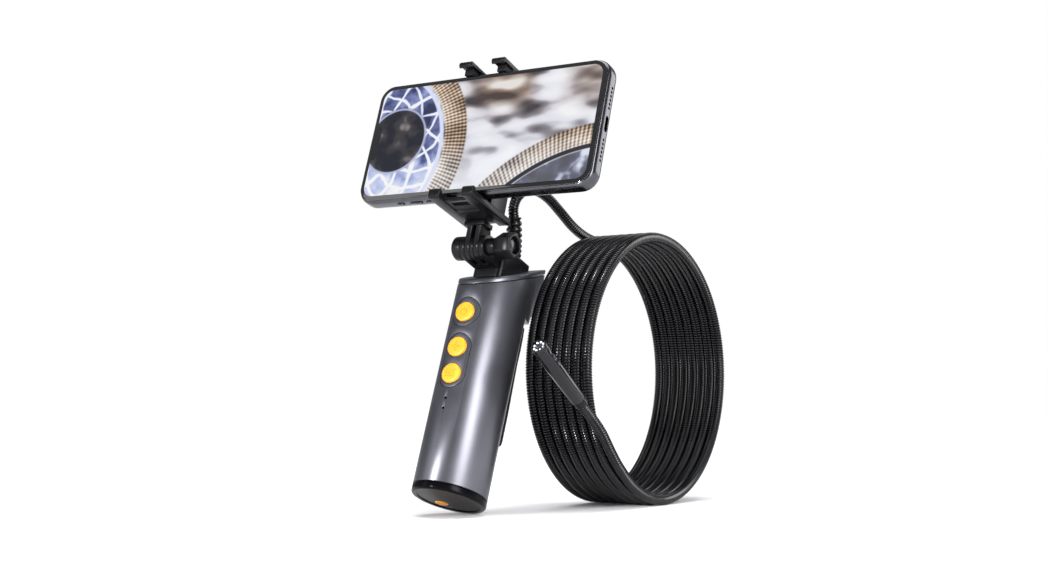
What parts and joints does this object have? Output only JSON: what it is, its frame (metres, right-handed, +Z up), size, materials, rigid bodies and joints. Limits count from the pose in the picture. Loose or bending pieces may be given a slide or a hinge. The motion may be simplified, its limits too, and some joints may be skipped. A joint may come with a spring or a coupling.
{
  "type": "inspection camera",
  "caption": "Handheld inspection camera: leaning oval grip with round buttons, tilting screen clamp holding a display, and a ribbed cable coil ending in a lighted probe.",
  "frame": {"origin": "on the floor, under the middle of the box of the grip, clamp and display", "axes": "+Z up, +X along the display's long side and the cable coil's axis, -Y the side that the screen and buttons face"},
  "size_m": [0.146, 0.2259, 0.2413],
  "materials": {
    "gunmetal": "satin dark grey, anodised",
    "black_plastic": "fine moulded texture",
    "gloss_black": "gloss black",
    "pad_rubber": "soft matt",
    "cable_rubber": "finely ribbed black sleeve",
    "amber_plastic": "satin amber",
    "steel": "plated",
    "board_green": "solder mask",
    "cell_wrap": null,
    "screen_glass": "black-backed cover glass with a lit picture",
    "phone_metal": "polished dark grey",
    "lens_glass": "coated lens",
    "light_lens": "diffusing lens"
  },
  "bodies": {
    "grip": {"grip_shell": "gunmetal", "grip_pad": "pad_rubber", "top_cap": "gunmetal", "base_cap": "gloss_black", "port_plug": "amber_plastic", "upper_bezel": "gunmetal", "lower_bezel": "gunmetal", "circuit_board": "board_green", "switch_power": "black_plastic", "switch_light": "black_plastic", "switch_capture": "black_plastic", "battery_cell": "cell_wrap", "light_guide_upper": "light_lens", "light_guide_lower": "light_lens", "cable_stem": "black_plastic", "hinge_fork": "black_plastic", "nut_cap": "black_plastic", "lock_nut": "steel", "hinge_collar": "black_plastic", "strain_relief": "cable_rubber", "cable_lead": "cable_rubber", "cable_coil": "cable_rubber", "probe_lead": "cable_rubber", "probe_ferrule": "gloss_black", "probe_tube": "gloss_black", "side_lens": "lens_glass", "probe_nose": "gloss_black", "front_lens": "lens_glass", "probe_lamps": "light_lens"},
    "power_button": {"button_power": "amber_plastic"},
    "light_button": {"button_light": "amber_plastic"},
    "capture_button": {"button_capture": "amber_plastic"},
    "knob": {"lock_knob": "black_plastic", "tilt_bolt": "steel"},
    "clamp": {"clamp_body": "black_plastic", "hinge_fins": "black_plastic", "lower_pad_left": "pad_rubber", "lower_pad_right": "pad_rubber", "clamp_spring": "steel"},
    "jaw": {"upper_jaw": "black_plastic", "upper_pad_left": "pad_rubber", "upper_pad_right": "pad_rubber"},
    "phone": {"phone_glass": "screen_glass", "phone_frame": "phone_metal", "phone_back": "gloss_black", "phone_switch": "phone_metal", "phone_key_up": "phone_metal", "phone_key_down": "phone_metal"}
  },
  "joints": [
    {"name": "power_press", "type": "slide", "parent": "grip", "child": "power_button", "axis": [0, 0.9323, -0.3616], "range_m": [0, 0.0008], "stiffness_N_per_m": 800},
    {"name": "light_press", "type": "slide", "parent": "grip", "child": "light_button", "axis": [0, 0.9323, -0.3616], "range_m": [0, 0.0008], "stiffness_N_per_m": 800},
    {"name": "capture_press", "type": "slide", "parent": "grip", "child": "capture_button", "axis": [0, 0.9323, -0.3616], "range_m": [0, 0.0008], "stiffness_N_per_m": 800},
    {"name": "knob_turn", "type": "hinge", "parent": "grip", "child": "knob", "pos_m": [-0.0072, -0.00451, 0.13976], "axis": [1, 0, 0], "range_deg": [-180, 180]},
    {"name": "screen_tilt", "type": "hinge", "parent": "grip", "child": "clamp", "pos_m": [-0.0072, -0.00451, 0.13976], "axis": [1, 0, 0], "range_deg": [-25, 40]},
    {"name": "jaw_slide", "type": "slide", "parent": "clamp", "child": "jaw", "axis": [0, 0.3239, 0.9461], "range_m": [0, 0.014], "stiffness_N_per_m": 150, "springref_m": -0.01},
    {"name": "phone_slide", "type": "slide", "parent": "clamp", "child": "phone", "axis": [-1, 0, 0], "range_m": [0, 0.06]}
  ]
}
